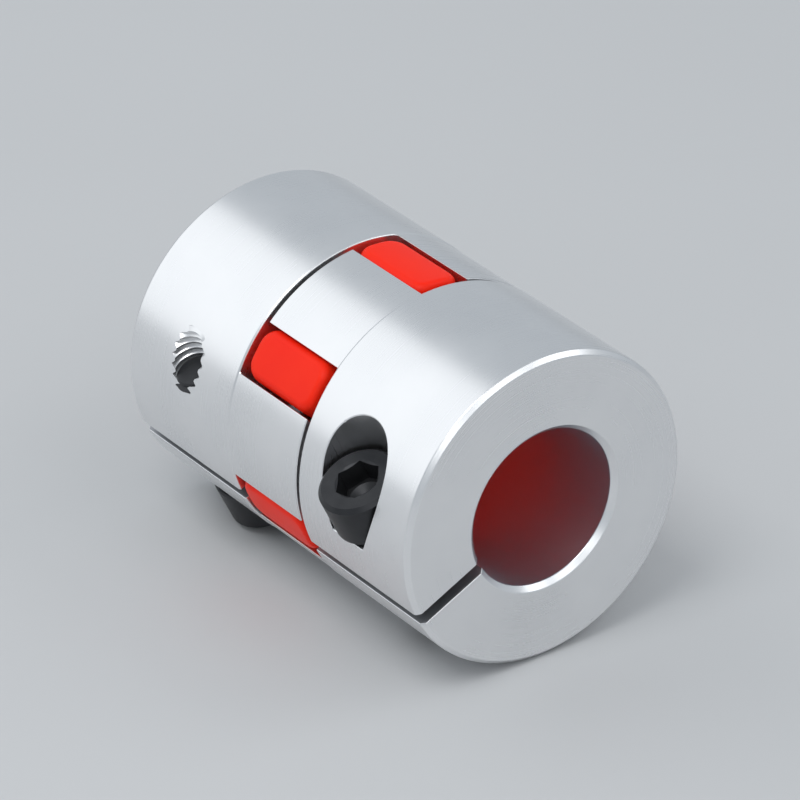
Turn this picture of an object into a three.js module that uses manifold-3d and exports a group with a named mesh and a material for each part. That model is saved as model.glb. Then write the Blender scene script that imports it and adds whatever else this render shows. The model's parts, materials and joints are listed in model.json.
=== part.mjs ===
// Clamp-type jaw coupling: two aluminium hubs with three jaws each, a six-lobe
// elastic spider between them, and one M6 cap screw that closes each hub on its shaft.
// Millimetres. The shaft axis runs along X through the origin, which is the coupling's
// middle. The near hub is at +X, the far hub at -X. Angles about the axis are measured
// from +Y towards +Z.
import * as THREE from "three";
import { mergeVertices } from "three/addons/utils/BufferGeometryUtils.js";
import Module from "manifold-3d";

const wasm = await Module();
wasm.setup();

// ---- overall ----
const OUTER_R = 20.0; // hub outside radius
const LENGTH = 57.0; // end face to end face
const BODY_LENGTH = 21.3; // clamping part of one hub
const END_X = LENGTH / 2; // end face
const FACE_X = END_X - BODY_LENGTH; // face the jaws stand on
const EDGE_CHAMFER = 0.6; // outer edge of the end face
const TURN_STEPS = 96; // facets round a hub

// ---- bore ----
const BORE_R = 10.0;
const BORE_CHAMFER = 0.7;

// ---- jaws and the spaces between them ----
const JAW_COUNT = 3; // on each hub
const TIP_GAP = 0.6; // jaw tip to the other hub's face
const JAW_OUTER_R = 19.9; // the jaws are turned down a little
const RELIEF_RAMP = 0.25; // length of the slope from the jaws up to the hub
const JAW_INNER_R = 10.6;
const JAW_TURN = 116; // degrees, middle of the first jaw of the near hub
const SPACE_R = 12.0; // radius of the hollow jaw flanks
const SPACE_MID_R = 16.0; // where the space between two jaws is widest
const SPACE_HALF = 4.0; // half of that widest space

// ---- clamp: slit and screw ----
const SLIT_TURN = 206; // degrees
const SLIT_WIDTH = 1.5;
const SCREW_X = END_X - 11.7;
const SCREW_OFFSET = 14.4; // from the shaft axis, along the slit
const SEAT_H = 6.2; // floor of the head's pocket above the slit plane
const POCKET_R = 5.4;
const CLEAR_R = 3.3; // clearance half of the hole
const TAPPED_R = 3.0; // threaded half of the hole, thread left plain

// ---- M6 x 18 cap screw ----
const HEAD_R = 5.0;
const HEAD_H = 6.0;
const SHANK_R = 2.7;
const SHANK_LENGTH = 18.0;
const SOCKET_AF = 5.0;
const SOCKET_DEPTH = 3.0;
const SEAT_GAP = 0.3;
const HEAD_CHAMFER = 0.5;
const TIP_CHAMFER = 0.6;

// ---- spider ----
const LOBE_COUNT = 6;
const LOBE_GAP = 0.3; // lobe to jaw flank
const LOBE_OUTER_R = 19.8;
const LOBE_HALF = 6.6; // half the lobes' length along the shaft
const LOBE_CHAMFER = 0.7;
const LOBE_ROOT_R = 9.7; // lobes stand proud of the web outside this radius
const WEB_R = 10.2;
const WEB_HALF = 5.0; // half the web's thickness

const rad = THREE.MathUtils.degToRad;

// A closed three.js geometry as a manifold-3d solid.
function solid(geometry) {
  const plain = geometry.index ? geometry.toNonIndexed() : geometry.clone();
  plain.deleteAttribute("normal");
  plain.deleteAttribute("uv");
  const merged = mergeVertices(plain, 1e-4);
  const made = new wasm.Manifold(
    new wasm.Mesh({
      numProp: 3,
      vertProperties: merged.attributes.position.array,
      triVerts: new Uint32Array(merged.index.array),
    }),
  );
  return made;
}

// A solid back as a three.js mesh with flat faces.
function meshOf(shape, name, material) {
  const got = shape.getMesh();
  const indexed = new THREE.BufferGeometry();
  indexed.setAttribute("position", new THREE.BufferAttribute(got.vertProperties, 3));
  indexed.setIndex(new THREE.BufferAttribute(got.triVerts, 1));
  const geometry = indexed.toNonIndexed();
  geometry.computeVertexNormals();
  const mesh = new THREE.Mesh(geometry, material);
  mesh.name = name;
  return mesh;
}

// A solid turned about X from [x, radius] corners that run outside first, towards +X, with a
// flat facet underneath.
function turned(corners, steps) {
  const closed = [...corners, corners[0]];
  const profile = closed.map(([x, r]) => new THREE.Vector2(r, x));
  const geometry = new THREE.LatheGeometry(profile, steps, Math.PI / steps);
  geometry.rotateZ(-Math.PI / 2);
  return solid(geometry);
}

// A round bar along X between two stations, its axis at (y, z).
function barAlongX(radius, x0, x1, y, z, steps) {
  const geometry = new THREE.CylinderGeometry(radius, radius, x1 - x0, steps);
  geometry.rotateZ(-Math.PI / 2);
  geometry.translate((x0 + x1) / 2, y, z);
  return solid(geometry);
}

// A block given by its lowest and highest corner.
function block(low, high) {
  const geometry = new THREE.BoxGeometry(high[0] - low[0], high[1] - low[1], high[2] - low[2]);
  geometry.translate((low[0] + high[0]) / 2, (low[1] + high[1]) / 2, (low[2] + high[2]) / 2);
  return solid(geometry);
}

// The same solid turned about the shaft axis.
function turnedTo(shape, degrees) {
  return shape.rotate([degrees, 0, 0]);
}

// The lens-shaped space between two neighbouring jaws, inset by a clearance, middle at +Y.
function lens(x0, x1, inset) {
  const away = SPACE_R - SPACE_HALF;
  const left = barAlongX(SPACE_R - inset, x0, x1, SPACE_MID_R, -away, 96);
  const right = barAlongX(SPACE_R - inset, x0, x1, SPACE_MID_R, away, 96);
  return left.intersect(right);
}

// A wedge about +Y that reaches past the outside of the hub.
function wedge(x0, x1, halfDegrees) {
  const reach = OUTER_R * 1.5;
  const shape = new THREE.Shape();
  shape.moveTo(0, 0);
  shape.lineTo(reach, -reach * Math.tan(rad(halfDegrees)));
  shape.lineTo(reach, reach * Math.tan(rad(halfDegrees)));
  shape.closePath();
  const geometry = new THREE.ExtrudeGeometry(shape, { depth: x1 - x0, bevelEnabled: false });
  geometry.rotateY(Math.PI / 2);
  geometry.rotateX(Math.PI / 2);
  geometry.translate(x0, 0, 0);
  return solid(geometry);
}

// A round bar along the screw's direction, between two heights above the slit plane. The slit
// lies along +Y here, and the screw's height is along -Z.
function barAlongScrew(radius, h0, h1, steps) {
  const geometry = new THREE.CylinderGeometry(radius, radius, h1 - h0, steps);
  geometry.rotateX(-Math.PI / 2);
  geometry.translate(SCREW_X, SCREW_OFFSET, -(h0 + h1) / 2);
  return solid(geometry);
}

// One hub, in the near hub's place.
function hub() {
  const tipX = -FACE_X + TIP_GAP;
  const blank = turned(
    [
      [tipX, JAW_OUTER_R],
      [FACE_X, JAW_OUTER_R],
      [FACE_X + RELIEF_RAMP, OUTER_R],
      [END_X - EDGE_CHAMFER, OUTER_R],
      [END_X, OUTER_R - EDGE_CHAMFER],
      [END_X, BORE_R + BORE_CHAMFER],
      [END_X - BORE_CHAMFER, BORE_R],
      [tipX, BORE_R],
    ],
    TURN_STEPS,
  );
  let cut = barAlongX(JAW_INNER_R, tipX - 1, FACE_X, 0, 0, 64);
  for (let i = 0; i < JAW_COUNT; i++) {
    const jaw = JAW_TURN + (i * 360) / JAW_COUNT;
    cut = cut.add(turnedTo(wedge(tipX - 1, FACE_X, 30), jaw + 60));
    cut = cut.add(turnedTo(lens(tipX - 1, FACE_X, 0), jaw + 30));
    cut = cut.add(turnedTo(lens(tipX - 1, FACE_X, 0), jaw - 30));
  }
  const slit = block([FACE_X - 1, 0, -SLIT_WIDTH / 2], [END_X + 1, OUTER_R + 1, SLIT_WIDTH / 2]);
  const pocket = barAlongScrew(POCKET_R, SEAT_H, OUTER_R + 2, 48);
  const clearance = barAlongScrew(CLEAR_R, 0, SEAT_H + 1, 32);
  const tapped = barAlongScrew(TAPPED_R, -OUTER_R - 2, 0.5, 32);
  const clamp = slit.add(pocket).add(clearance).add(tapped);
  return blank.subtract(cut).subtract(turnedTo(clamp, SLIT_TURN));
}

// One cap screw, in the near hub's place.
function clampScrew() {
  const underHead = SEAT_H + SEAT_GAP;
  const top = underHead + HEAD_H;
  const tip = underHead - SHANK_LENGTH;
  const profile = [
    [tip, 0],
    [tip, SHANK_R - TIP_CHAMFER],
    [tip + TIP_CHAMFER, SHANK_R],
    [underHead, SHANK_R],
    [underHead, HEAD_R],
    [top - HEAD_CHAMFER, HEAD_R],
    [top, HEAD_R - HEAD_CHAMFER],
    [top, 0],
  ].map(([h, r]) => new THREE.Vector2(r, h));
  const body = new THREE.LatheGeometry(profile, 36);
  const socket = new THREE.CylinderGeometry(
    SOCKET_AF / Math.sqrt(3),
    SOCKET_AF / Math.sqrt(3),
    SOCKET_DEPTH + 1,
    6,
  );
  socket.translate(0, top + 0.5 - SOCKET_DEPTH / 2, 0);
  for (const geometry of [body, socket]) {
    geometry.rotateX(-Math.PI / 2);
    geometry.translate(SCREW_X, SCREW_OFFSET, 0);
  }
  return turnedTo(solid(body).subtract(solid(socket)), SLIT_TURN);
}

// The elastic spider: a solid centre web and six lobes that fill the spaces between the jaws.
function spider() {
  const ring = turned(
    [
      [-LOBE_HALF, 0],
      [-LOBE_HALF, LOBE_OUTER_R - LOBE_CHAMFER],
      [-LOBE_HALF + LOBE_CHAMFER, LOBE_OUTER_R],
      [LOBE_HALF - LOBE_CHAMFER, LOBE_OUTER_R],
      [LOBE_HALF, LOBE_OUTER_R - LOBE_CHAMFER],
      [LOBE_HALF, 0],
    ],
    TURN_STEPS,
  );
  const lobe = lens(-LOBE_HALF - 1, LOBE_HALF + 1, LOBE_GAP);
  let lobes = turnedTo(lobe, SLIT_TURN);
  for (let i = 1; i < LOBE_COUNT; i++) {
    lobes = lobes.add(turnedTo(lobe, SLIT_TURN + (i * 360) / LOBE_COUNT));
  }
  const web = barAlongX(WEB_R, -WEB_HALF, WEB_HALF, 0, 0, 72);
  const hollow = barAlongX(LOBE_ROOT_R, -LOBE_HALF - 2, LOBE_HALF + 2, 0, 0, 72);
  return ring.intersect(lobes).subtract(hollow).add(web);
}

// Half a turn about the line along the slit carries the near end's pieces to the far end.
function atFarEnd(shape) {
  return turnedTo(turnedTo(shape, -SLIT_TURN).rotate([0, 180, 0]), SLIT_TURN);
}

const aluminium = new THREE.MeshStandardMaterial({ color: 0xc9ccd1, roughness: 0.35, metalness: 1 });
const polyurethane = new THREE.MeshStandardMaterial({ color: 0xe8301f, roughness: 0.45, metalness: 0 });
const blackOxide = new THREE.MeshStandardMaterial({ color: 0x2b2c2f, roughness: 0.5, metalness: 0.8 });

const coupling = new THREE.Group();
coupling.name = "jaw_coupling";
coupling.add(meshOf(hub(), "near_hub", aluminium));
coupling.add(meshOf(atFarEnd(hub()), "far_hub", aluminium));
coupling.add(meshOf(spider(), "spider", polyurethane));
coupling.add(meshOf(clampScrew(), "near_clamp_screw", blackOxide));
coupling.add(meshOf(atFarEnd(clampScrew()), "far_clamp_screw", blackOxide));

export default coupling;
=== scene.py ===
import json
import math
import bmesh
import bpy
import numpy as np
from mathutils import Matrix, Vector


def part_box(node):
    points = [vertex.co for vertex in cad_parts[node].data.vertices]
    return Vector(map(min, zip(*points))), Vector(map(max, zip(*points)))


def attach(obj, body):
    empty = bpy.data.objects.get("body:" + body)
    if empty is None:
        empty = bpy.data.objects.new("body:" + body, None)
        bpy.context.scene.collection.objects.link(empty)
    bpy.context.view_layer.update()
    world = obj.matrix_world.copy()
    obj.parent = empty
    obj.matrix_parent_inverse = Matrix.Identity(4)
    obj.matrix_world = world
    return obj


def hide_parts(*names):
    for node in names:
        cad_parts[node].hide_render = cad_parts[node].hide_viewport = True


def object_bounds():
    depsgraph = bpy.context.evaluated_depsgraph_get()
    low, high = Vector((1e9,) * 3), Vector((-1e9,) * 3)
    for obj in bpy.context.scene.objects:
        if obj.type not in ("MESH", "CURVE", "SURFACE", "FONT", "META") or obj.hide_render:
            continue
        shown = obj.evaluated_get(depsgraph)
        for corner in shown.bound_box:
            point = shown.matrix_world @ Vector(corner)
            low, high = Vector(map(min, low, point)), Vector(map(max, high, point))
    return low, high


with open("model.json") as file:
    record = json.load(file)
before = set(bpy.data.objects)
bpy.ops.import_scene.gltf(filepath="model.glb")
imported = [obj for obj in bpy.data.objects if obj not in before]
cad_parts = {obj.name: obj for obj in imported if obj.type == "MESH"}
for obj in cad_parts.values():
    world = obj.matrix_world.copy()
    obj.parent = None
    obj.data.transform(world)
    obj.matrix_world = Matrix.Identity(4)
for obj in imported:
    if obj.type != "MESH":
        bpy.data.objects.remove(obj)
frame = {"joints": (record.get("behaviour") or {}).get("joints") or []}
cad_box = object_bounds()

# Modelling is done in millimetres in the near hub's place and brought to metres at the end. The
# shaft axis is X. The clamp's own directions are "along", from the shaft axis along the slit, and
# "up", square to the slit plane towards the screw's head.
MM = 0.001
joints = {joint["name"]: joint for joint in frame["joints"]}
screw_point = Vector(joints["near_screw_turn"]["pos_m"]) / MM
up = Vector(joints["near_screw_turn"]["axis"]).normalized()
shaft = Vector((1, 0, 0))
along = shaft.cross(up)

# ---- hub, from the frame and the driving dimensions ----
tip_x, end_x = (corner.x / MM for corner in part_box("near_hub"))
outer_r = 20.0
face_x = 7.2
edge_chamfer = 0.6
bore_r = 10.0
bore_chamfer = 0.7
jaw_outer_r = 19.9
relief_ramp = 0.25
jaw_inner_r = 10.6
# The flanks of a space between two jaws are hollow arcs of radius space_r. Each is farthest from
# the space's middle line, by space_half, at space_mid_r from the shaft.
space_r = 12.0
space_mid_r = 16.0
space_half = 4.0
slit_width = 1.5
pocket_r = 5.4
seat_up = 6.2
clear_r = 3.3
turn_steps = 120
pocket_steps = 120
hole_steps = 72
flank_steps = 24
space_steps = 16
jaw_steps = 10
facet_phase = math.radians(1.75)
edge_break = 0.14
thread_margin = 0.1
past = 1.0  # how far a cutter runs on outside the piece
slit_turn = math.atan2(along.z, along.y)

# ---- M6 screw ----
pitch = 1.0
thread_major_r = 3.0
thread_minor_r = 2.46
thread_form = [
    (0, thread_minor_r),
    (0.25, thread_minor_r),
    (0.5625, thread_major_r),
    (0.6875, thread_major_r),
]
thread_clearance = 0.13
thread_phase = 0.8
tap_low = -23 + thread_phase
tap_high = 1 + thread_phase
shank_low = -14 + thread_phase
shank_high = 5 + thread_phase
tip_chamfer = 0.6
neck_inset = 0.3
neck_length = 1.5
head_r = 5.0
head_height = 6.0
head_steps = 96
under_head = 6.5
shank_length = 18.0
socket_flats = 5.0
socket_depth = 3.0
socket_turn = -15.0
mouth_inset = 0.1
drill_depth = 0.9
drill_margin = 0.1
drill_steps = 48
head_chamfer = 0.5
foot_chamfer = 0.2

# ---- spider ----
# The star is shorter than its place by the play at each end, and lies at the far end of it.
star_play = 0.3
lobe_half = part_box("spider")[1].x / MM - star_play
lobe_gap = 0.38
lobe_outer_r = 19.8
lobe_root_r = 9.7
lobe_corner = 2.0
lobe_round = 0.8
web_r = 10.2
web_half = 5.0
web_round = 0.6
web_steps = 96
rim_steps = 4
dish_r = 3.0
dish_depth = 0.4
corner_steps = 8
wall_steps = 16
rounding_steps = 6


# ---------------------------------------------------------------- mesh helpers
def new_object(name, bm):
    mesh = bpy.data.meshes.new(name)
    bm.to_mesh(mesh)
    bm.free()
    piece = bpy.data.objects.new(name, mesh)
    bpy.context.scene.collection.objects.link(piece)
    return piece


def axes(origin, axis, side):
    """A matrix that carries local X to axis and local Y to side."""
    x = Vector(axis).normalized()
    y = Vector(side).normalized()
    z = x.cross(y)
    rotation = Matrix((x, y, z)).transposed().to_4x4()
    return Matrix.Translation(Vector(origin)) @ rotation


def revolve(name, profile, steps, phase=0.0, place=None):
    """A solid turned about local X. The profile is [(x, r), ...]; it is either a closed ring, or
    starts and ends on the axis."""
    bm = bmesh.new()
    open_ends = profile[0][1] == 0
    rings = []
    for x, r in profile:
        if r == 0:
            rings.append([bm.verts.new((x, 0, 0))])
            continue
        turns = [phase + 2 * math.pi * i / steps for i in range(steps)]
        rings.append([bm.verts.new((x, r * math.cos(t), r * math.sin(t))) for t in turns])
    count = len(rings)
    for i in range(count - 1 if open_ends else count):
        a, b = rings[i], rings[(i + 1) % count]
        for k in range(steps):
            n = (k + 1) % steps
            if len(a) == 1:
                bm.faces.new((a[0], b[n], b[k]))
            elif len(b) == 1:
                bm.faces.new((a[k], a[n], b[0]))
            else:
                bm.faces.new((a[k], a[n], b[n], b[k]))
    bmesh.ops.recalc_face_normals(bm, faces=bm.faces)
    if place:
        bm.transform(place)
    return new_object(name, bm)


def bar(name, radius, low, high, steps, place):
    profile = [(low, 0), (low, radius), (high, radius), (high, 0)]
    return revolve(name, profile, steps, place=place)


def block(name, low, high, place):
    bm = bmesh.new()
    bmesh.ops.create_cube(bm, size=1.0)
    for vert in bm.verts:
        vert.co = Vector(l + (c + 0.5) * (h - l) for l, h, c in zip(low, high, vert.co))
    bm.transform(place)
    return new_object(name, bm)


def combine(piece, other, operation):
    """piece joined with, cut by or kept within other, which is used up."""
    modifier = piece.modifiers.new("combine", "BOOLEAN")
    modifier.operation = operation
    modifier.solver = "EXACT"
    modifier.object = other
    bake_modifiers(piece)
    tidy(piece)
    used = other.data
    bpy.data.objects.remove(other)
    bpy.data.meshes.remove(used)


def bake_modifiers(piece):
    depsgraph = bpy.context.evaluated_depsgraph_get()
    old = piece.data
    piece.data = bpy.data.meshes.new_from_object(piece.evaluated_get(depsgraph))
    piece.modifiers.clear()
    bpy.data.meshes.remove(old)


def tidy(piece, within=0.0015):
    """Merges the points that a cut leaves on top of each other."""
    bm = bmesh.new()
    bm.from_mesh(piece.data)
    bmesh.ops.remove_doubles(bm, verts=bm.verts, dist=within)
    bmesh.ops.dissolve_degenerate(bm, edges=bm.edges, dist=within)
    bm.to_mesh(piece.data)
    bm.free()


def about_shaft(turn):
    """The near hub's frame turned so that local Y points at this angle about the shaft."""
    return Matrix.Rotation(turn, 4, "X")


def flank(radius, inset=0.0):
    """The angle from the middle of a space between two jaws to its hollow flank, at a radius."""
    away = math.hypot(space_mid_r, space_r - space_half)
    lean = math.atan2(space_r - space_half, space_mid_r)
    reach = space_r - inset
    cosine = (radius**2 + away**2 - reach**2) / (2 * radius * away)
    return math.acos(cosine) - lean


def prism(name, outline, low, high):
    """A solid along X with this outline of (radius, angle about the shaft) points."""
    bm = bmesh.new()
    flat = [(r * math.cos(t), r * math.sin(t)) for r, t in outline]
    ends = [[bm.verts.new((x, y, z)) for y, z in flat] for x in (low, high)]
    bm.faces.new(ends[0])
    bm.faces.new(ends[1])
    for i in range(len(flat)):
        n = (i + 1) % len(flat)
        bm.faces.new((ends[0][i], ends[0][n], ends[1][n], ends[1][i]))
    bmesh.ops.recalc_face_normals(bm, faces=bm.faces)
    return new_object(name, bm)


def spread(first, last, count):
    return [first + (last - first) * i / count for i in range(count + 1)]


def between_jaws(name, low, high):
    """Everything beside and between the three jaws, as one prism."""
    outline = []
    beyond = outer_r + 2 * past
    radii = spread(jaw_inner_r, beyond, flank_steps)
    for turn in jaw_turns:
        leaving = turn + math.radians(30)
        arriving = turn + math.radians(90)
        outline += [(r, leaving - flank(r)) for r in radii]
        sweep = spread(leaving - flank(beyond), arriving + flank(beyond), space_steps)
        outline += [(beyond, t) for t in sweep[1:-1]]
        outline += [(r, arriving + flank(r)) for r in reversed(radii)]
        inner = flank(jaw_inner_r)
        sweep = spread(arriving + inner, arriving + math.radians(60) - inner, jaw_steps)
        outline += [(jaw_inner_r, t) for t in sweep[1:-1]]
    return prism(name, outline, low, high)


def helix(name, low, high, inset, place, steps=72):
    """A right-handed threaded bar about local X, its radii reduced by inset. The two ends are
    closed by fans, whose points lie 0.2 pitches below low and 1.2 pitches above high."""
    bm = bmesh.new()
    turns = int(round((high - low) / pitch))
    form = [(share, radius - inset) for share, radius in thread_form]
    rows = [(turn + share, radius) for turn in range(turns) for share, radius in form]
    rows.append((turns, thread_minor_r - inset))
    ribs = []
    for k in range(steps + 1):
        angle = 2 * math.pi * k / steps
        rib = []
        for offset, radius in rows:
            x = low + (offset + k / steps) * pitch
            rib.append(bm.verts.new((x, radius * math.cos(angle), radius * math.sin(angle))))
        ribs.append(rib)
    for k in range(steps):
        for i in range(len(rows) - 1):
            bm.faces.new((ribs[k][i], ribs[k][i + 1], ribs[k + 1][i + 1], ribs[k + 1][i]))
    bmesh.ops.remove_doubles(bm, verts=bm.verts, dist=1e-5)
    for end_x, fan_x in ((low, low - 0.2 * pitch), (high, high + 1.2 * pitch)):
        edges = [
            edge
            for edge in bm.edges
            if edge.is_boundary and all(abs(v.co.x - end_x) < 1.01 * pitch for v in edge.verts)
        ]
        apex = bm.verts.new((fan_x, 0, 0))
        for edge in edges:
            bm.faces.new((edge.verts[0], edge.verts[1], apex))
    bmesh.ops.recalc_face_normals(bm, faces=bm.faces)
    bm.transform(place)
    return new_object(name, bm)


def break_edges(piece, width, point, axis, spared):
    """A narrow chamfer along every sharp edge, but not within the spared distance of an axis."""
    sharp_angle = math.radians(30)
    bm = bmesh.new()
    bm.from_mesh(piece.data)
    weight = bm.edges.layers.float.new("bevel_weight_edge")
    for edge in bm.edges:
        away = min((vert.co - point).cross(axis).length for vert in edge.verts)
        sharp = edge.calc_face_angle(0) > sharp_angle
        edge[weight] = float(sharp and away > spared)
    bm.to_mesh(piece.data)
    bm.free()
    modifier = piece.modifiers.new("edges", "BEVEL")
    modifier.width = width
    modifier.segments = 1
    modifier.limit_method = "WEIGHT"
    modifier.use_clamp_overlap = False
    modifier.loop_slide = False
    bake_modifiers(piece)
    tidy(piece)


def to_metres(piece):
    piece.data.transform(Matrix.Scale(MM, 4))


# ---------------------------------------------------------------- exact shading normals
def round_wall(point, axis, radius, sign=1):
    point, axis = np.array(point, float), np.array(axis, float)
    axis = axis / np.linalg.norm(axis)

    def measure(p):
        across = p - point
        across = across - np.outer(across @ axis, axis)
        length = np.linalg.norm(across, axis=1)
        return length - radius, sign * across / np.maximum(length, 1e-9)[:, None]

    return measure


def flat_wall(point, normal):
    point, normal = np.array(point, float), np.array(normal, float)
    normal = normal / np.linalg.norm(normal)

    def measure(p):
        return (p - point) @ normal, np.tile(normal, (len(p), 1))

    return measure


def polar(p, point, axis):
    """Height along an axis, distance from it, and the unit direction away from it."""
    point, axis = np.array(point, float), np.array(axis, float)
    height = (p - point) @ axis
    across = p - point - np.outer(height, axis)
    radius = np.linalg.norm(across, axis=1)
    return height, radius, across / np.maximum(radius, 1e-9)[:, None]


def cone_wall(point, axis, height, radius, lean):
    """A cone about an axis through this height and radius. The wall faces along the axis by
    lean[0] and away from it by lean[1]."""
    along_part, out_part = np.array(lean, float) / math.hypot(*lean)

    def measure(p):
        h, r, out = polar(p, point, axis)
        distance = (h - height) * along_part + (r - radius) * out_part
        return distance, along_part * np.array(axis, float) + out_part * out

    return measure


def thread_wall(point, axis, side, inset, rising, sign):
    """One of the two flanks of the thread that helix() makes."""
    rise = thread_major_r - thread_minor_r
    share = thread_form[2][0] - thread_form[1][0]
    slope = rise / (share * pitch) * (1 if rising else -1)
    start = thread_form[1][0] if rising else thread_form[3][0]
    foot = (thread_minor_r if rising else thread_major_r) - inset
    cosine = 1 / math.hypot(1, slope)
    third = Vector(axis).cross(Vector(side))

    def measure(p):
        h, r, out = polar(p, point, axis)
        angle = np.arctan2(out @ np.array(third), out @ np.array(side)) / (2 * math.pi)
        along_pitch = (h / pitch - thread_phase - angle - start + 0.25) % 1 - 0.25
        distance = (r - foot - slope * along_pitch * pitch) * cosine
        normal = sign * cosine * (out - slope * np.array(axis, float))
        return distance, normal

    return measure


def shade(piece, walls, within=0.012):
    """Gives each face that lies on one of these walls the wall's own normals, and lets the narrow
    edge faces between them run smoothly from one wall to the next."""
    wall_agreement = 0.9  # least cosine between a face and the wall it lies on
    edge_agreement = 0.3  # and between an edge face and the normals it takes from its neighbours
    shared_least = 0.5  # a shorter sum means no wall there, or walls that cancel each other
    mesh = piece.data
    mesh.polygons.foreach_set("use_smooth", [True] * len(mesh.polygons))
    co = np.zeros(len(mesh.vertices) * 3)
    mesh.vertices.foreach_get("co", co)
    co = co.reshape(-1, 3)
    loop_vert = np.zeros(len(mesh.loops), int)
    mesh.loops.foreach_get("vertex_index", loop_vert)
    starts = np.zeros(len(mesh.polygons), int)
    totals = np.zeros(len(mesh.polygons), int)
    mesh.polygons.foreach_get("loop_start", starts)
    mesh.polygons.foreach_get("loop_total", totals)
    face_normal = np.zeros(len(mesh.polygons) * 3)
    mesh.polygons.foreach_get("normal", face_normal)
    face_normal = face_normal.reshape(-1, 3)
    loop_face = np.repeat(np.arange(len(mesh.polygons)), totals)
    normals = face_normal[loop_face].copy()
    found = np.zeros(len(mesh.polygons), bool)
    vert_sum = np.zeros_like(co)
    for wall in walls:
        distance, normal = wall(co)
        near = np.abs(distance) < within
        all_near = np.logical_and.reduceat(near[loop_vert], starts)
        mean = np.add.reduceat(normal[loop_vert], starts, axis=0)
        mean = mean / np.maximum(np.linalg.norm(mean, axis=1), 1e-9)[:, None]
        agrees = np.einsum("ij,ij->i", mean, face_normal) > wall_agreement
        hit = all_near & agrees & ~found
        found |= hit
        loops = hit[loop_face]
        normals[loops] = normal[loop_vert[loops]]
    for i in np.nonzero(found[loop_face])[0]:
        vert_sum[loop_vert[i]] += normals[i]
    shared = vert_sum[loop_vert]
    length = np.linalg.norm(shared, axis=1)
    shared = shared / np.maximum(length, 1e-9)[:, None]
    leaning = np.einsum("ij,ij->i", shared, face_normal[loop_face]) > edge_agreement
    leaning &= length > shared_least
    edge_face = np.logical_and.reduceat(leaning, starts) & ~found
    use = edge_face[loop_face]
    normals[use] = shared[use]
    mesh.normals_split_custom_set(normals.tolist())


# ---------------------------------------------------------------- pieces
screw_place = axes(screw_point, up, along)
jaw_turns = [slit_turn - math.radians(90 - 120 * i) for i in range(3)]


def thread_walls(point, axis, side, inset, sign):
    """The crest, the root and both flanks of a thread."""
    return [
        round_wall(point, axis, thread_major_r - inset, sign),
        round_wall(point, axis, thread_minor_r - inset, sign),
        thread_wall(point, axis, side, inset, True, sign),
        thread_wall(point, axis, side, inset, False, sign),
    ]


def hub_walls():
    """Every wall of the near hub, for its shading."""
    walls = [
        round_wall((0, 0, 0), shaft, outer_r),
        round_wall((0, 0, 0), shaft, jaw_outer_r),
        cone_wall((0, 0, 0), shaft, face_x, jaw_outer_r, (jaw_outer_r - outer_r, relief_ramp)),
        round_wall((0, 0, 0), shaft, bore_r, -1),
        round_wall((0, 0, 0), shaft, jaw_inner_r, -1),
        flat_wall((end_x, 0, 0), (1, 0, 0)),
        flat_wall((face_x, 0, 0), (-1, 0, 0)),
        flat_wall((tip_x, 0, 0), (-1, 0, 0)),
        cone_wall((0, 0, 0), shaft, end_x, outer_r - edge_chamfer, (1, 1)),
        cone_wall((0, 0, 0), shaft, end_x, bore_r + bore_chamfer, (1, -1)),
        flat_wall(up * slit_width / 2, -up),
        flat_wall(-up * slit_width / 2, up),
        round_wall(screw_point, up, pocket_r, -1),
        flat_wall(up * seat_up, up),
        round_wall(screw_point, up, clear_r, -1),
        *thread_walls(screw_point, up, along, 0, -1),
    ]
    for turn in jaw_turns:
        for step in (-30, 30):
            place = about_shaft(turn + math.radians(step))
            for side in (-1, 1):
                centre = place @ Vector((0, space_mid_r, side * (space_r - space_half)))
                walls.append(round_wall(centre, shaft, space_r, -1))
    return walls


def near_hub(name):
    profile = [
        (tip_x, bore_r),
        (tip_x, jaw_outer_r),
        (face_x, jaw_outer_r),
        (face_x + relief_ramp, outer_r),
        (end_x - edge_chamfer, outer_r),
        (end_x, outer_r - edge_chamfer),
        (end_x, bore_r + bore_chamfer),
        (end_x - bore_chamfer, bore_r),
    ]
    hub = revolve(name, profile, turn_steps, facet_phase)
    half = slit_width / 2
    slit_low = (face_x - past, 0, -half)
    slit_high = (end_x + past, outer_r + past, half)
    cuts = [
        between_jaws("cut", tip_x - past, face_x),
        block("cut", slit_low, slit_high, axes((0, 0, 0), shaft, along)),
        bar("cut", pocket_r, seat_up, outer_r + 2 * past, pocket_steps, screw_place),
        bar("cut", clear_r, 0, seat_up + past, hole_steps, screw_place),
        helix("cut", tap_low, tap_high, 0, screw_place),
    ]
    for cut in cuts:
        combine(hub, cut, "DIFFERENCE")
    break_edges(hub, edge_break, screw_point, up, thread_major_r + thread_margin)
    shade(hub, hub_walls())
    return hub


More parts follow.
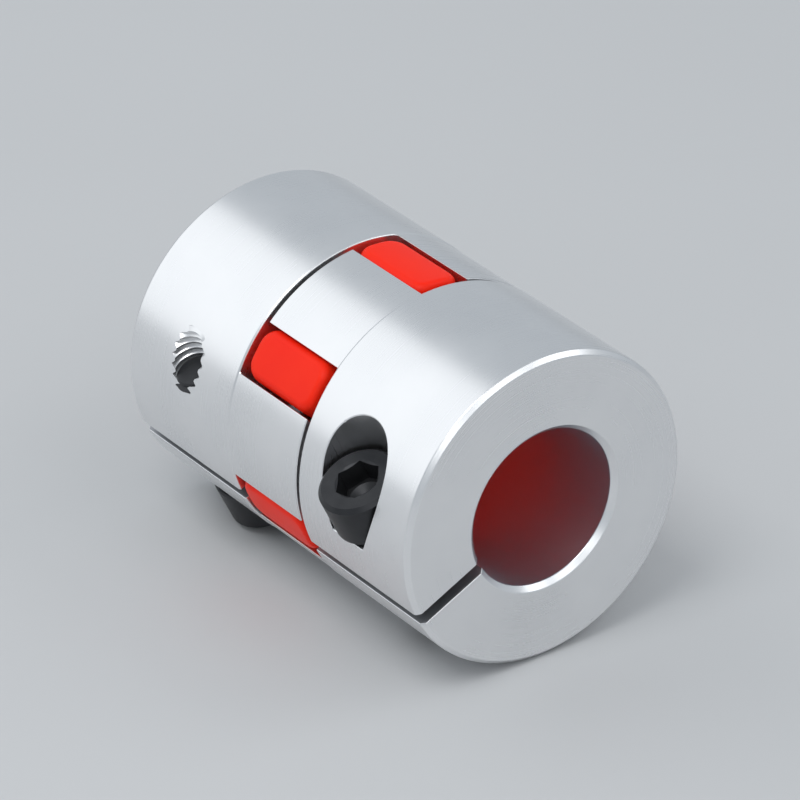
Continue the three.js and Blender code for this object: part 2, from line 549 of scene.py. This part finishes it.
def clamp_screw(name):
    """The near screw, made about local X with its slit-plane height as X."""
    top = under_head + head_height
    tip = under_head - shank_length
    here = Matrix.Identity(4)
    x_axis = Vector((1, 0, 0))
    y_axis = Vector((0, 1, 0))
    origin = (0, 0, 0)

    shank = helix(name, shank_low, shank_high, thread_clearance, here)
    crest = thread_major_r - thread_clearance
    point_r = crest - tip_chamfer
    trim_r = point_r + past
    trim_top = under_head + neck_length
    trim = [(tip, 0), (tip, point_r), (tip + past, trim_r), (trim_top, trim_r), (trim_top, 0)]
    combine(shank, revolve("cut", trim, hole_steps), "INTERSECT")

    hex_corner = socket_flats / math.sqrt(3)
    mouth_r = hex_corner - mouth_inset
    mouth_slope = math.tan(math.radians(60))
    neck_r = crest - neck_inset
    body = [
        (under_head - neck_length, 0),
        (under_head - neck_length, neck_r),
        (under_head, neck_r),
        (under_head, head_r - foot_chamfer),
        (under_head + foot_chamfer, head_r),
        (top - head_chamfer, head_r),
        (top, head_r - head_chamfer),
        (top, 0),
    ]
    head = revolve("head", body, head_steps)
    socket = [(hex_corner, math.radians(60 * i + socket_turn)) for i in range(6)]
    floor = top - socket_depth
    combine(head, prism("cut", socket, floor, top + past), "DIFFERENCE")
    drill_r = socket_flats / 2 - drill_margin
    drill_top = floor + drill_margin
    drill = [(floor - drill_depth, 0), (drill_top, drill_r), (drill_top, 0)]
    combine(head, revolve("cut", drill, drill_steps), "DIFFERENCE")
    mouth_low = top - mouth_r / mouth_slope
    mouth = [(mouth_low, 0), (top, mouth_r), (top + past, mouth_r), (top + past, 0)]
    combine(head, revolve("cut", mouth, head_steps), "DIFFERENCE")
    combine(shank, head, "UNION")

    walls = [
        round_wall(origin, x_axis, head_r),
        flat_wall((top, 0, 0), x_axis),
        flat_wall((under_head, 0, 0), -x_axis),
        flat_wall((tip, 0, 0), -x_axis),
        flat_wall((floor, 0, 0), x_axis),
        cone_wall(origin, x_axis, top, head_r - head_chamfer, (1, 1)),
        cone_wall(origin, x_axis, under_head, head_r - foot_chamfer, (-1, 1)),
        cone_wall(origin, x_axis, top, mouth_r, (mouth_slope, -1)),
        cone_wall(origin, x_axis, tip, point_r, (-1, 1)),
        *thread_walls(origin, x_axis, y_axis, thread_clearance, 1),
    ]
    for i in range(6):
        turn = math.radians(60 * i + 30 + socket_turn)
        outward = Vector((0, math.cos(turn), math.sin(turn)))
        walls.append(flat_wall(outward * socket_flats / 2, -outward))
    shade(shank, walls)
    return shank


def lobe_loop(radius, inset):
    """One closed loop round a lobe, on a cylinder about the shaft, as (x, y, z) points. Every side
    is moved in by inset."""
    half_wide = radius * flank(radius, lobe_gap)
    corner = max(min(lobe_corner, half_wide) - inset, 0)
    long = lobe_half - inset - corner
    wide = max(half_wide - inset - corner, 0)
    flat = []
    for quarter, (x_sign, s_sign) in enumerate(((1, 1), (-1, 1), (-1, -1), (1, -1))):
        for turn in spread(quarter * math.pi / 2, (quarter + 1) * math.pi / 2, corner_steps):
            x = x_sign * long + corner * math.cos(turn)
            flat.append((x, s_sign * wide + corner * math.sin(turn)))
        if quarter % 2:
            flat += [(x_sign * (long + corner), s_sign * wide * part) for part in (0.5, 0, -0.5)]
    flat = [(x, arc / radius) for x, arc in flat]
    return [Vector((x, radius * math.cos(t), radius * math.sin(t))) for x, t in flat]


def lobe(name, turn):
    """A stack of loops from the root outwards, over the rounded edge and in across the top."""
    levels = [(r, 0) for r in spread(lobe_root_r, lobe_outer_r - lobe_round, wall_steps)]
    for a in spread(0, math.pi / 2, rounding_steps)[1:]:
        sink, inset = lobe_round * (1 - math.sin(a)), lobe_round * (1 - math.cos(a))
        levels.append((lobe_outer_r - sink, inset))
    middle = lobe_outer_r * flank(lobe_outer_r, lobe_gap)
    levels += [(lobe_outer_r, inset) for inset in spread(lobe_round, middle, rounding_steps)[1:]]
    bm = bmesh.new()
    rings = [[bm.verts.new(p) for p in lobe_loop(*level)] for level in levels]
    count = len(rings[0])
    for a, b in zip(rings, rings[1:]):
        for k in range(count):
            n = (k + 1) % count
            bm.faces.new((a[k], a[n], b[n], b[k]))
    bm.faces.new(rings[0])
    bmesh.ops.remove_doubles(bm, verts=bm.verts, dist=1e-4)
    bmesh.ops.recalc_face_normals(bm, faces=bm.faces)
    bm.transform(about_shaft(turn))
    return new_object(name, bm)


def spider_piece(name):
    r = web_r - web_round
    turns = spread(0, math.pi / 2, rim_steps)
    arc = [(web_round * (1 - math.cos(a)), web_round * math.sin(a)) for a in turns]
    rim = [(web_half - step, r + rise) for step, rise in arc]
    dish_x = web_half - dish_depth
    dish = [(dish_x, 0), (dish_x, dish_r - dish_depth), (web_half, dish_r)]
    high = dish + rim
    low = [(-x, radius) for x, radius in high]
    piece = revolve(name, low + high[::-1], web_steps)
    for i in range(6):
        combine(piece, lobe("lobe", slit_turn + math.radians(60 * i)), "UNION")
    piece.data.shade_smooth()
    piece.data.set_sharp_from_angle(angle=math.radians(35))
    weighted = piece.modifiers.new("normals", "WEIGHTED_NORMAL")
    weighted.keep_sharp = True
    bake_modifiers(piece)
    return piece


# ---------------------------------------------------------------- materials
bore_margin = 0.05
slit_margin = 0.02


class Nodes:
    """A short way to write a material's nodes."""

    def __init__(self, name):
        self.material = bpy.data.materials.new(name)
        self.material.use_nodes = True
        self.tree = self.material.node_tree
        self.shader = self.tree.nodes["Principled BSDF"]

    def add(self, kind, inputs=(), **settings):
        node = self.tree.nodes.new(kind)
        for key, value in settings.items():
            setattr(node, key, value)
        for key, value in dict(inputs).items():
            self.feed(node.inputs[key], value)
        return node

    def feed(self, socket, value):
        if isinstance(value, bpy.types.NodeSocket):
            self.tree.links.new(value, socket)
        else:
            socket.default_value = value

    def math(self, operation, *values):
        node = self.add("ShaderNodeMath", operation=operation)
        for socket, value in zip(node.inputs, values):
            self.feed(socket, value)
        return node.outputs[0]

    def height(self, place, axis):
        """How far a place lies from the plane through the origin square to an axis."""
        node = self.add("ShaderNodeVectorMath", operation="DOT_PRODUCT")
        self.feed(node.inputs[0], place)
        self.feed(node.inputs[1], axis)
        return self.math("ABSOLUTE", node.outputs["Value"])

    def ramp(self, factor, low, high):
        """Carries a noise value, mostly 0.3 to 0.7, to a range."""
        ends = {"From Min": 0.3, "From Max": 0.7, "To Min": low, "To Max": high}
        return self.add("ShaderNodeMapRange", {"Value": factor, **ends}).outputs["Result"]

    def mix(self, factor, first, second):
        node = self.add("ShaderNodeMix", data_type="RGBA")
        self.feed(node.inputs["Factor"], factor)
        self.feed(node.inputs["A"], first)
        self.feed(node.inputs["B"], second)
        return node.outputs["Result"]

    def noise(self, scale, detail=2.0, dimensions="3D", **links):
        node = self.add("ShaderNodeTexNoise", noise_dimensions=dimensions)
        node.inputs["Scale"].default_value = scale
        node.inputs["Detail"].default_value = detail
        for key, value in links.items():
            self.feed(node.inputs[key], value)
        return node.outputs["Fac"]

    def bump(self, height, distance, strength, under=None):
        node = self.add("ShaderNodeBump", {"Height": height, "Strength": strength})
        node.inputs["Distance"].default_value = distance
        if under:
            self.feed(node.inputs["Normal"], under)
        return node.outputs["Normal"]

    def set(self, **values):
        for key, value in values.items():
            self.feed(self.shader.inputs[key.replace("_", " ")], value)


def turned_aluminium():
    """Satin aluminium with the fine rings of a lathe: along the shaft on the round walls, outwards
    on the flat ones. The two walls of the slit are sawn, so rougher, and carry a dark painted
    shade; the bore carries a darker, bluer painted shade."""
    n = Nodes("satin_aluminium")
    place = n.add("ShaderNodeTexCoord").outputs["Object"]
    facing = n.add("ShaderNodeTexCoord").outputs["Normal"]
    xyz = n.add("ShaderNodeSeparateXYZ", {"Vector": place}).outputs
    normal = n.add("ShaderNodeSeparateXYZ", {"Vector": facing}).outputs
    y_square = n.math("MULTIPLY", xyz["Y"], xyz["Y"])
    z_square = n.math("MULTIPLY", xyz["Z"], xyz["Z"])
    radius = n.math("SQRT", n.math("ADD", y_square, z_square))
    in_bore = n.math("LESS_THAN", radius, (bore_r + bore_margin) * MM)
    outside = n.math("SUBTRACT", 1.0, in_bore)
    near_slit = n.math("LESS_THAN", n.height(place, up), (slit_width / 2 + slit_margin) * MM)
    in_slit = n.math("MULTIPLY", near_slit, n.math("GREATER_THAN", n.height(facing, up), 0.9))
    flat = n.math("GREATER_THAN", n.math("ABSOLUTE", normal["X"]), 0.9)
    round_travel = n.math("MULTIPLY", n.math("SUBTRACT", 1.0, flat), xyz["X"])
    travel = n.math("ADD", n.math("MULTIPLY", flat, radius), round_travel)
    # Rings about 0.14 mm apart and broader ones of 1.1 mm, clouds of 11 mm, a grain of 0.04 mm.
    rings = n.noise(7000.0, 3.0, "1D", W=travel)
    broad = n.noise(900.0, 2.0, "1D", W=travel)
    cloud = n.noise(90.0, 3.0, Vector=place)
    grain = n.noise(24000.0, 1.0, Vector=place)
    colour = n.mix(n.ramp(cloud, 0.0, 1.0), (0.815, 0.82, 0.83, 1), (0.87, 0.873, 0.878, 1))
    roughness = n.math("ADD", n.ramp(rings, 0.27, 0.33), n.ramp(cloud, -0.015, 0.02))
    roughness = n.math("ADD", roughness, n.math("MULTIPLY", in_bore, 0.06))
    roughness = n.math("ADD", roughness, n.math("MULTIPLY", in_slit, 0.2))
    # Painted shade: the bore's walls get a darker, bluer colour than the outside, standing in for
    # the shade inside the bore.
    colour = n.mix(in_bore, colour, (0.76, 0.78, 0.84, 1))
    # Painted shade: the slit's walls get a dark grey colour, standing in for the shade in the
    # narrow slit; their added roughness is the real sawn finish.
    colour = n.mix(in_slit, colour, (0.40, 0.41, 0.43, 1))
    turned = n.bump(rings, 0.00001, n.math("MULTIPLY", outside, 0.03))
    turned = n.bump(broad, 0.00003, n.math("MULTIPLY", outside, 0.012), turned)
    n.set(Base_Color=colour, Metallic=1.0, Roughness=roughness)
    n.set(Normal=n.bump(grain, 0.000004, 0.08, turned))
    return n.material


def black_oxide():
    n = Nodes("black_oxide_steel")
    place = n.add("ShaderNodeTexCoord").outputs["Object"]
    cloud = n.noise(350.0, 4.0, Vector=place)
    grain = n.noise(9000.0, 2.0, Vector=place)
    colour = n.mix(n.ramp(cloud, 0.0, 1.0), (0.030, 0.031, 0.034, 1), (0.048, 0.049, 0.052, 1))
    n.set(Base_Color=colour, Metallic=0.7, Roughness=n.ramp(cloud, 0.36, 0.5))
    n.set(Normal=n.bump(grain, 0.00001, 0.2))
    return n.material


def red_polyurethane():
    n = Nodes("red_polyurethane")
    place = n.add("ShaderNodeTexCoord").outputs["Object"]
    cloud = n.noise(160.0, 3.0, Vector=place)
    grain = n.noise(5000.0, 3.0, Vector=place)
    colour = n.mix(n.ramp(cloud, 0.0, 1.0), (0.96, 0.018, 0.004, 1), (1.0, 0.026, 0.006, 1))
    n.set(Base_Color=colour, Roughness=n.ramp(cloud, 0.36, 0.46))
    n.shader.inputs["Specular IOR Level"].default_value = 0.15
    n.shader.inputs["Subsurface Weight"].default_value = 0.15
    n.shader.inputs["Subsurface Scale"].default_value = 0.002
    n.shader.inputs["Subsurface Radius"].default_value = (1.0, 0.2, 0.1)
    n.set(Normal=n.bump(grain, 0.00001, 0.15))
    return n.material


def floor_paint():
    n = Nodes("floor")
    place = n.add("ShaderNodeTexCoord").outputs["Object"]
    cloud = n.noise(6.0, 3.0, Vector=place)
    colour = n.mix(n.ramp(cloud, 0.0, 1.0), (0.545, 0.55, 0.555, 1), (0.565, 0.57, 0.575, 1))
    n.set(Base_Color=colour, Roughness=n.ramp(cloud, 0.55, 0.62))
    return n.material


# ---------------------------------------------------------------- assembly
aluminium = turned_aluminium()
oxide = black_oxide()
polyurethane = red_polyurethane()


def install(piece, material, body, node):
    piece.data.materials.clear()
    piece.data.materials.append(material)
    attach(piece, body)
    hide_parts(node)


def far_copy(piece, name):
    """The same piece at the far end, half a turn about the line along the slit."""
    other = bpy.data.objects.new(name, piece.data.copy())
    bpy.context.scene.collection.objects.link(other)
    other.data.transform(Matrix.Rotation(math.pi, 4, along))
    return other


hub = near_hub("near_clamp_hub")
to_metres(hub)
far_hub = far_copy(hub, "far_clamp_hub")
screw = clamp_screw("near_cap_screw")
screw.data.transform(screw_place)
to_metres(screw)
far_screw = far_copy(screw, "far_cap_screw")
star = spider_piece("elastic_spider")
star.data.transform(Matrix.Translation(-star_play * shaft))
to_metres(star)

install(hub, aluminium, "near_hub", "near_hub")
install(far_hub, aluminium, "far_hub", "far_hub")
install(screw, oxide, "near_clamp_screw", "near_clamp_screw")
install(far_screw, oxide, "far_clamp_screw", "far_clamp_screw")
install(star, polyurethane, "spider", "spider")


# ---------------------------------------------------------------- floor, light and camera
def floor_plane():
    """A flat floor just under the hubs' round walls, the coupling's lowest points."""
    half = 3.0
    gap = 0.0002
    bm = bmesh.new()
    bmesh.ops.create_grid(bm, x_segments=8, y_segments=8, size=half)
    floor = new_object("floor", bm)
    floor.location = (0, 0, cad_box[0].z - gap)
    floor.data.materials.append(floor_paint())


def softbox(name, direction, distance, across, width, height, radiance):
    """A rectangular light that faces the coupling from a direction, its width along across."""
    light = bpy.data.lights.new(name, "AREA")
    light.shape = "RECTANGLE"
    light.size = width
    light.size_y = height
    light.energy = radiance * math.pi * width * height
    lamp = bpy.data.objects.new(name, light)
    bpy.context.scene.collection.objects.link(lamp)
    away = Vector(direction).normalized()
    side = Vector(across)
    side = (side - away * side.dot(away)).normalized()
    rotation = Matrix((side, away.cross(side), away)).transposed()
    lamp.matrix_world = Matrix.Translation(away * distance) @ rotation.to_4x4()


def world_light(colour, strength):
    world = bpy.data.worlds.new("studio")
    world.use_nodes = True
    background = world.node_tree.nodes["Background"]
    background.inputs["Color"].default_value = (*colour, 1)
    background.inputs["Strength"].default_value = strength
    bpy.context.scene.world = world


def camera(azimuth, elevation, distance, look_at, lens):
    data = bpy.data.cameras.new("camera")
    data.lens = lens
    data.clip_start = 0.01
    data.clip_end = 50
    view = bpy.data.objects.new("camera", data)
    bpy.context.scene.collection.objects.link(view)
    a, e = math.radians(azimuth), math.radians(elevation)
    back = Vector((math.sin(a) * math.cos(e), -math.cos(a) * math.cos(e), math.sin(e)))
    view.location = Vector(look_at) + back * distance
    view.rotation_mode = "QUATERNION"
    view.rotation_quaternion = (-back).to_track_quat("-Z", "Y")
    bpy.context.scene.camera = view


floor_plane()
world_light((0.90, 0.97, 1.04), 0.55)

# Seen from the camera, a hub's round wall mirrors only directions with X near -0.70, so the key
# light stands there, at an angle about the shaft, and makes the broad bright band. The other four
# light the end face's chamfers, the floor, the lobes and the screw.
key_turn = math.radians(134)
key_out = 0.715
key_from = (-0.70, key_out * math.cos(key_turn), key_out * math.sin(key_turn))
round_shaft = (0, -math.sin(key_turn), math.cos(key_turn))
softbox("key", key_from, 0.7, round_shaft, width=0.85, height=0.7, radiance=0.60)
softbox("back", (0.35, 0.65, 0.68), 0.8, (1, 0, 0), width=0.45, height=0.35, radiance=1.4)
softbox("top", (0.15, -0.45, 0.88), 0.9, (1, 0, 0), width=0.4, height=0.4, radiance=4.8)
softbox("rim", (0.64, 0.06, 0.77), 0.9, (0, 1, 0), width=0.5, height=0.35, radiance=1.1)
softbox("front", (0.70, -0.52, 0.56), 0.9, (0.6, 0.8, 0), width=0.35, height=0.35, radiance=1.25)
centre = (0.00005, -0.00006, 0.0016)
camera(azimuth=53.80, elevation=29.495, distance=0.6467, look_at=centre, lens=244.2)
bpy.context.scene.view_settings.view_transform = "Standard"
